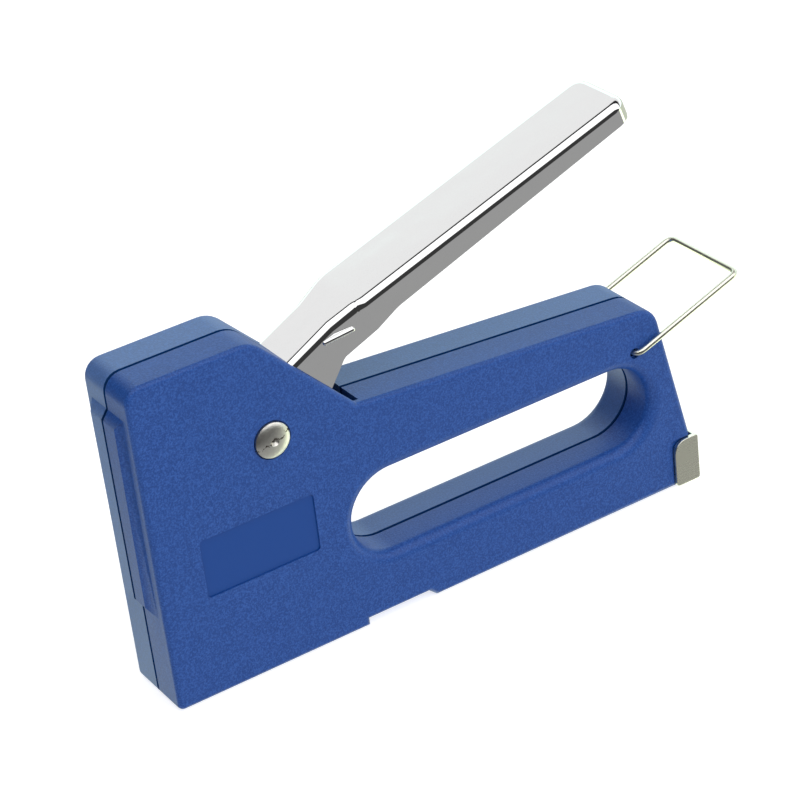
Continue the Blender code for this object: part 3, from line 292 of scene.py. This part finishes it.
bright_steel = metal("zinc_plated_steel", (0.60, 0.60, 0.60), 0.32)
dark_steel = metal("oiled_dark_steel", (0.17, 0.17, 0.18), 0.38)
for node, body, slot, steel in (
        ("nose_plate", "body", "bright_steel", bright_steel),
        ("magazine_channel", "body", "dark_steel", dark_steel),
        ("spring_seat", "body", "bright_steel", bright_steel),
        ("plunger", "plunger", "dark_steel", dark_steel),
        ("lift_pin", "plunger", "bright_steel", bright_steel),
        ("blade_pin", "plunger", "bright_steel", bright_steel),
        ("driver_blade", "plunger", "bright_steel", bright_steel),
        ("staple_rail", "drawer", "bright_steel", bright_steel),
        ("rail_end_block", "drawer", "dark_steel", dark_steel),
        ("pusher_rod", "drawer", "bright_steel", bright_steel),
        ("pusher", "pusher", "dark_steel", dark_steel)):
    fit(finished(f"{node}_piece", merged_copy(node), steel), node, body)


# ---- Rubber bumper ------------------------------------------------------------------------------
# A moulded block of black rubber that stops the plunger, held in a pocket of the housing. Fine flow
# marks and dust from use dull it.
DUST = 0.0015
DUST_DEPTH = 0.00005
rubber, rubber_shader, rubber_place = new_finish("black_rubber")
dust = cloud(rubber_place, DUST, 4.0)
feed(rubber_shader, "Base Color", blend_colours(dust * 0.4, (0.018, 0.018, 0.018), (0.06, 0.058, 0.055)))
feed(rubber_shader, "Roughness", 0.7 + dust * 0.25)
raise_bumps(rubber_shader, dust, 0.3, DUST_DEPTH)
fit(finished("bumper_block", merged_copy("bumper"), rubber), "bumper", "body")


def coil(node, body, steel):
    piece = finished(f"{node}_wire", merged_copy(node), steel, sharp=60, weighted=False)
    return fit(piece, node, body)


def shortening(piece):
    """Gives a coil a mesh of its own."""
    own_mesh(piece)


power_spring = coil("power_spring", "body", dark_steel)
shortening(power_spring)
pusher_spring = coil("pusher_spring", "drawer", bright_steel)
shortening(pusher_spring)
coil("return_spring", "lever", bright_steel)


# ---- Staples ------------------------------------------------------------------------------------
# One strip of staples on the drawer's rail. Each is bent from flat zinc-plated wire, and glued side by
# side to the next.
STAPLE_PITCH = 0.00072
STAPLE_BREADTH = 0.00064
STAPLE_SHEET = 0.0007


def staple(strip, front, low, high):
    """One staple: two legs and the crown between them."""
    rear = front + STAPLE_BREADTH
    legs = low.y + STAPLE_SHEET, high.y - STAPLE_SHEET
    crown = high.z - STAPLE_SHEET
    for start, end in (((front, low.y, low.z), (rear, legs[0], high.z)),
                       ((front, legs[1], low.z), (rear, high.y, high.z)),
                       ((front, legs[0], crown), (rear, legs[1], high.z))):
        size = Vector(end) - Vector(start)
        middle = (Vector(end) + Vector(start)) / 2
        bmesh.ops.create_cube(strip, size=1, matrix=Matrix.Translation(middle) @ Matrix.Diagonal((*size, 1)))


strip_low, strip_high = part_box("staple_strip")
strip = bmesh.new()
for number in range(int((strip_high.x - strip_low.x) / STAPLE_PITCH)):
    staple(strip, strip_low.x + number * STAPLE_PITCH, strip_low, strip_high)
staple_zinc = metal("staple_zinc", (0.66, 0.65, 0.63), 0.28)
staples = finished("staples", strip, staple_zinc, sharp=30, weighted=False)
fit(staples, "staple_strip", "drawer")


# ---- Lever --------------------------------------------------------------------------------------
# Steel sheet pressed into a channel, with a narrow neck that flares into the handle, then polished and
# chromed. A stiffening rib is pressed out of each cheek of the neck, and the skin keeps slight waves.
RIB_START = Vector((0.0528, 0.0081, 0.0826))
RIB_END = Vector((0.0602, 0.0093, 0.0840))
RIB_RADIUS = 0.0007
RIB_STEPS = 20
SKIN_WAVE = 0.011
SKIN_WAVE_DEPTH = 0.0003


def pressed_rib(shape, start, end, radius):
    """A round-ended rib, half sunk in the cheek."""
    run = end - start
    turn = run.to_track_quat("Z", "Y").to_matrix().to_4x4()
    bmesh.ops.create_cone(shape, cap_ends=True, segments=RIB_STEPS, radius1=radius, radius2=radius,
                          depth=run.length, matrix=Matrix.Translation((start + end) / 2) @ turn)
    for place in (start, end):
        bmesh.ops.create_uvsphere(shape, u_segments=RIB_STEPS, v_segments=RIB_STEPS // 2, radius=radius,
                                  matrix=Matrix.Translation(place) @ turn)


def polished_chrome():
    material, shader, place = new_finish("polished_chrome", 1.0)
    smears = cloud(place, 0.004, 4.0)
    scuffs = cloud(place, 0.0006, 3.0)
    feed(shader, "Base Color", blend_colours(smears * 0.25, (0.90, 0.90, 0.90), (0.80, 0.80, 0.81)))
    feed(shader, "Roughness", 0.03 + smears * 0.06 + (scuffs > 0.62) * 0.05)
    raise_bumps(shader, cloud(place, SKIN_WAVE, 1.0), 0.2, SKIN_WAVE_DEPTH)
    return material


pressing = merged_copy("lever")
for hand in (Vector((1, 1, 1)), Vector((1, -1, 1))):
    pressed_rib(pressing, RIB_START * hand, RIB_END * hand, RIB_RADIUS)
fit(finished("lever_pressing", pressing, polished_chrome(), sharp=38), "lever", "lever")


# ---- Pivot rivet and washer ---------------------------------------------------------------------
# A nickelled steel rivet: a dome on the near side, dented in its middle and scratched by use, and a tail
# clenched over a washer on the far side.
DOME_RINGS = 10
DOME_FOOT = 0.0105
DOME_EDGE = 0.0004
DENT_RADIUS = 0.0012
DENT_DEPTH = 0.0010
SHAFT_SHARE = 0.52
SCRATCH_SLOPE = 0.30
SCRATCH_HALF = 0.00022
SCRATCH_SWAY = 0.0032
WEAR = 0.0011
WEAR_DEPTH = 0.0001


def spun(profile, place, heading, steps=64):
    """A turned shape: (radius, height) points from the axis at the top to the axis at the bottom."""
    shape = bmesh.new()
    points = [shape.verts.new((radius, 0, height)) for radius, height in profile]
    edges = [shape.edges.new(pair) for pair in zip(points, points[1:])]
    bmesh.ops.spin(shape, geom=points + edges, cent=(0, 0, 0), axis=(0, 0, 1), angle=2 * math.pi,
                   steps=steps, use_merge=True, use_duplicate=False)
    bmesh.ops.remove_doubles(shape, verts=shape.verts, dist=0.000002)
    bmesh.ops.recalc_face_normals(shape, faces=shape.faces)
    turn = Vector(heading).to_track_quat("Z", "Y").to_matrix().to_4x4()
    bmesh.ops.transform(shape, matrix=Matrix.Translation(place) @ turn, verts=shape.verts)
    return shape


def rivet_profile(radius, head, tail):
    """From the dent in the dome, at height head, to the hollow in the clenched end, at -tail."""
    shaft = radius * SHAFT_SHARE
    brim = DOME_FOOT + DOME_EDGE
    points = [(0, head - DENT_DEPTH), (DENT_RADIUS * 0.4, head - DENT_DEPTH * 0.9)]
    for ring in range(DOME_RINGS + 1):
        share = DENT_RADIUS / radius * (1 - ring / DOME_RINGS) + ring / DOME_RINGS
        points.append((radius * share, brim + (head - brim) * math.sqrt(1 - (0.96 * share) ** 2)))
    points += [(radius, DOME_FOOT), (shaft, DOME_FOOT)]
    points += [(shaft * wide, above - tail) for wide, above in (
        (1, 0.0012), (1.5, 0.0009), (1.35, 0.0003), (0.8, 0), (0.4, 0.0006), (0, 0.0006))]
    return points


def scratched_nickel(middle):
    """Worn bright nickel, with a jagged scratch across the middle of the dome."""
    material, shader, place = new_finish("bright_nickel", 1.0)
    along, _, height = parts_of(place)
    wear = cloud(place, WEAR, 3.0, 0.6)
    jagged = (cloud(place, 0.0016, 3.0, 0.7) - 0.5) * SCRATCH_SWAY
    off = height - middle.z - (along - middle.x) * SCRATCH_SLOPE + jagged
    scratch = (abs(off) < SCRATCH_HALF) * (wear > 0.42)
    colour = blend_colours(wear * 0.6, (0.94, 0.93, 0.88), (0.66, 0.64, 0.58))
    feed(shader, "Base Color", blend_colours(scratch, colour, (0.10, 0.085, 0.06)))
    feed(shader, "Roughness", 0.28 + wear * 0.20)
    raise_bumps(shader, wear, 0.5, WEAR_DEPTH)
    return material


rivet_low, rivet_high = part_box("pivot_rivet")
pivot = (rivet_low + rivet_high) / 2
rivet_shape = spun(rivet_profile((rivet_high.x - rivet_low.x) / 2, -rivet_low.y, rivet_high.y),
                   (pivot.x, 0, pivot.z), (0, -1, 0))
nickel = scratched_nickel(pivot)
rivet_dome = finished("pivot_rivet_dome", rivet_shape, nickel, sharp=30, weighted=False)
fit(rivet_dome, "pivot_rivet", "body")
washer_ring = finished("pivot_washer_ring", merged_copy("pivot_washer"), nickel, sharp=30)
fit(washer_ring, "pivot_washer", "body")


# ---- Housing screws -----------------------------------------------------------------------------
# Four zinc-plated self-tapping screws with pan heads, driven through the far half into posts of the near
# one. Each head has a cross recess.
HEAD_HEIGHT = 0.0016
HEAD_STEPS = 32
THREAD_RADIUS = 0.0013
RECESS_DEPTH = 0.0009
RECESS_ARM = 0.0016
RECESS_HALF = 0.00042
RECESS_TAPER = 0.75


def pan_screw(low, high):
    """A screw along +Y: a pan head with a cross recess, and a plain shaft with a blunt point."""
    head = (high.x - low.x) / 2
    length = high.y - low.y
    under_head = length - HEAD_HEIGHT
    profile = [(head * 0.7, length), (head * 0.92, length - HEAD_HEIGHT * 0.22),
               (head, length - HEAD_HEIGHT * 0.55), (head, under_head), (THREAD_RADIUS, under_head),
               (THREAD_RADIUS, THREAD_RADIUS * 2), (0, 0)]
    shape = spun(profile, (0, 0, 0), (0, 0, 1), HEAD_STEPS)
    arms = []
    for quarter in range(4):
        turn = Matrix.Rotation(quarter * math.pi / 2, 2)
        arms += [turn @ Vector(spot) for spot in ((RECESS_ARM, -RECESS_HALF), (RECESS_ARM, RECESS_HALF),
                                                  (RECESS_HALF, RECESS_HALF))]
    points = [shape.verts.new((*spot, length)) for spot in arms]
    brim = [shape.edges.new(pair) for pair in zip(points, points[1:] + points[:1])]
    outer = [edge for edge in shape.edges if edge.is_boundary]
    bmesh.ops.triangle_fill(shape, use_beauty=True, edges=outer + brim)
    sunk = bmesh.ops.extrude_edge_only(shape, edges=brim)["geom"]
    for vert in [item for item in sunk if isinstance(item, bmesh.types.BMVert)]:
        vert.co = (vert.co.x * RECESS_TAPER, vert.co.y * RECESS_TAPER, length - RECESS_DEPTH)
    bmesh.ops.contextual_create(shape, geom=[item for item in sunk if isinstance(item, bmesh.types.BMEdge)])
    bmesh.ops.recalc_face_normals(shape, faces=shape.faces)
    turn = Vector((0, 1, 0)).to_track_quat("Z", "Y").to_matrix().to_4x4()
    point = Vector(((low.x + high.x) / 2, low.y, (low.z + high.z) / 2))
    bmesh.ops.transform(shape, matrix=Matrix.Translation(point) @ turn, verts=shape.verts)
    return shape


for number in range(1, 5):
    node = f"housing_screw_{number}"
    screw = finished(f"{node}_pan", pan_screw(*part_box(node)), bright_steel, sharp=30, weighted=False)
    fit(screw, node, "body")


# ---- Rear cap -----------------------------------------------------------------------------------
# The drawer's end plate: nickelled sheet folded forward along both sides of the tail. One rivet holds it
# to the block on the rail's end.
CAP_EDGE = 0.00025
satin_nickel = metal("satin_nickel", (0.93, 0.93, 0.80), 0.25)
cap_plate = finished("rear_cap_plate", merged_copy("rear_cap"), satin_nickel, sharp=30, broken=CAP_EDGE)
fit(cap_plate, "rear_cap", "drawer")
cap_head = finished("cap_rivet_head", merged_copy("cap_rivet"), nickel, sharp=30)
fit(cap_head, "cap_rivet", "drawer")


# ---- Wire latch ---------------------------------------------------------------------------------
# One length of nickelled spring wire, bent into a loop that hooks over the pressed lever. Its two ends
# spring into holes in the housing.
latch_loop = finished("latch_loop", merged_copy("latch_wire"), satin_nickel, sharp=60, weighted=False)
fit(latch_loop, "latch_wire", "latch")


# ---- Studio -------------------------------------------------------------------------------------
# A plain pale floor under a sky of soft panels, with one soft box above and to the front. Dark gaps and
# a screen between the panels put the dark lines into the polished lever.
FLOOR_SIZE = 12.0
FLOOR_DROP = 0.0002
FLOOR_GLOW = 0.75
TOWARDS_FRONT = (-0.4935, -0.8698, 0.0)
TOWARDS_LEFT = (-0.8698, 0.4935, 0.0)
REAR_LOW = (0.60, 0.62, 0.55)
REAR_FOOT = (0.60, 0.66, 0.50)
FLOOR_LIGHT = (2.05, 2.25, 1.65)
FRONT_LOW = (0.34, 0.34, 0.34)
GAP = (0.04, 0.04, 0.04)
FRONT_PANEL = (1.45, 1.45, 1.45)
TOP_GAP = (0.02, 0.02, 0.02)
TOP_PANEL = (0.90, 0.90, 0.90)
REAR_PANEL = (1.20, 1.50, 1.40)
# Round the sky, from level behind (0) to straight down (0.25), level in front (0.5), overhead (0.75) and
# level behind again (1).
SKY = [
    (0.00, REAR_LOW), (0.12, REAR_FOOT), (0.165, FLOOR_LIGHT), (0.22, FLOOR_LIGHT),
    (0.27, (0.34, 0.34, 0.33)), (0.400, FRONT_LOW), (0.415, GAP), (0.585, GAP),
    (0.60, FRONT_PANEL), (0.775, FRONT_PANEL), (0.785, TOP_GAP), (0.835, TOP_GAP),
    (0.848, TOP_PANEL), (0.89, TOP_PANEL), (0.91, REAR_PANEL), (0.99, REAR_PANEL), (1.00, TOP_PANEL)]
SCREEN_EDGE = 0.43
SCREEN_LEAN = 0.2
SCREEN_FOOT = -0.32
SCREEN_SHARE = 0.92

pale, pale_shader, pale_place = new_finish("pale_floor")
feed(pale_shader, "Base Color", blend_colours(cloud(pale_place, 0.4) * 0.5, (0.53, 0.53, 0.53),
                                              (0.51, 0.51, 0.51)))
pale_shader.inputs["Roughness"].default_value = 0.9
pale_shader.inputs["Specular IOR Level"].default_value = 0.0
pale_shader.inputs["Emission Color"].default_value = (1, 1, 1, 1)
pale_shader.inputs["Emission Strength"].default_value = FLOOR_GLOW
ground = bmesh.new()
bmesh.ops.create_grid(ground, x_segments=1, y_segments=1, size=FLOOR_SIZE / 2)
bmesh.ops.translate(ground, verts=ground.verts, vec=(0, 0, cad_box[0][2] - FLOOR_DROP))
floor = finished("floor", ground, pale, weighted=False)
floor.visible_glossy = False

sky = bpy.data.worlds.new("studio_sky")
sky.use_nodes = True
bpy.context.scene.world = sky
heading = Shade(sky.node_tree).node("ShaderNodeTexCoord", output="Generated")
front = heading.node("ShaderNodeVectorMath", {"operation": "DOT_PRODUCT"}, {0: heading, 1: TOWARDS_FRONT}, 1)
left = heading.node("ShaderNodeVectorMath", {"operation": "DOT_PRODUCT"}, {0: heading, 1: TOWARDS_LEFT}, 1)
height = parts_of(heading)[2]
turn = heading.maths("ARCTAN2", height, front) / (2 * math.pi) + 0.5
bands = heading.node("ShaderNodeValToRGB", {"stops": SKY}, {"Fac": turn})
screen = (left > height * SCREEN_LEAN + SCREEN_EDGE) * (height > SCREEN_FOOT) * SCREEN_SHARE
looked_at = heading.node("ShaderNodeLightPath", output="Is Camera Ray")
seen = blend_colours(screen, bands, TOP_GAP)
seen = blend_colours(looked_at, seen, (1, 1, 1))
feed(sky.node_tree.nodes["Background"], "Color", seen)


def soft_box(name, place, size, power, aim):
    light = bpy.data.lights.new(name, "AREA")
    light.shape = "RECTANGLE"
    light.size = size[0]
    light.size_y = size[1]
    light.energy = power
    lamp = bpy.data.objects.new(name, light)
    lamp.location = place
    lamp.rotation_euler = (Vector(aim) - Vector(place)).to_track_quat("-Z", "Y").to_euler()
    lamp.visible_glossy = False
    bpy.context.scene.collection.objects.link(lamp)


soft_box("front_box", (0.35, -1.1, 0.8), (1.2, 1.2), 4, (0.07, 0, 0.05))

CAMERA_PLACE = Vector((-0.23049, -0.54078, 0.40634))
CAMERA_TURN = math.radians(-29.570)
CAMERA_RISE = math.radians(29.572)
CAMERA_ROLL = math.radians(-7.070)
CAMERA_LENS = 126.27
back = Vector((math.sin(CAMERA_TURN) * math.cos(CAMERA_RISE), -math.cos(CAMERA_TURN) * math.cos(CAMERA_RISE),
               math.sin(CAMERA_RISE)))
level = Vector((math.cos(CAMERA_TURN), math.sin(CAMERA_TURN), 0))
rise = back.cross(level)
side = level * math.cos(CAMERA_ROLL) + rise * math.sin(CAMERA_ROLL)
top = rise * math.cos(CAMERA_ROLL) - level * math.sin(CAMERA_ROLL)
lens = bpy.data.cameras.new("camera")
lens.lens = CAMERA_LENS
lens.sensor_width = 36
lens.clip_start = 0.01
camera = bpy.data.objects.new("camera", lens)
camera.matrix_world = Matrix.Translation(CAMERA_PLACE) @ Matrix((side, top, back)).transposed().to_4x4()
bpy.context.scene.collection.objects.link(camera)
bpy.context.scene.camera = camera
bpy.context.scene.view_settings.view_transform = "Standard"
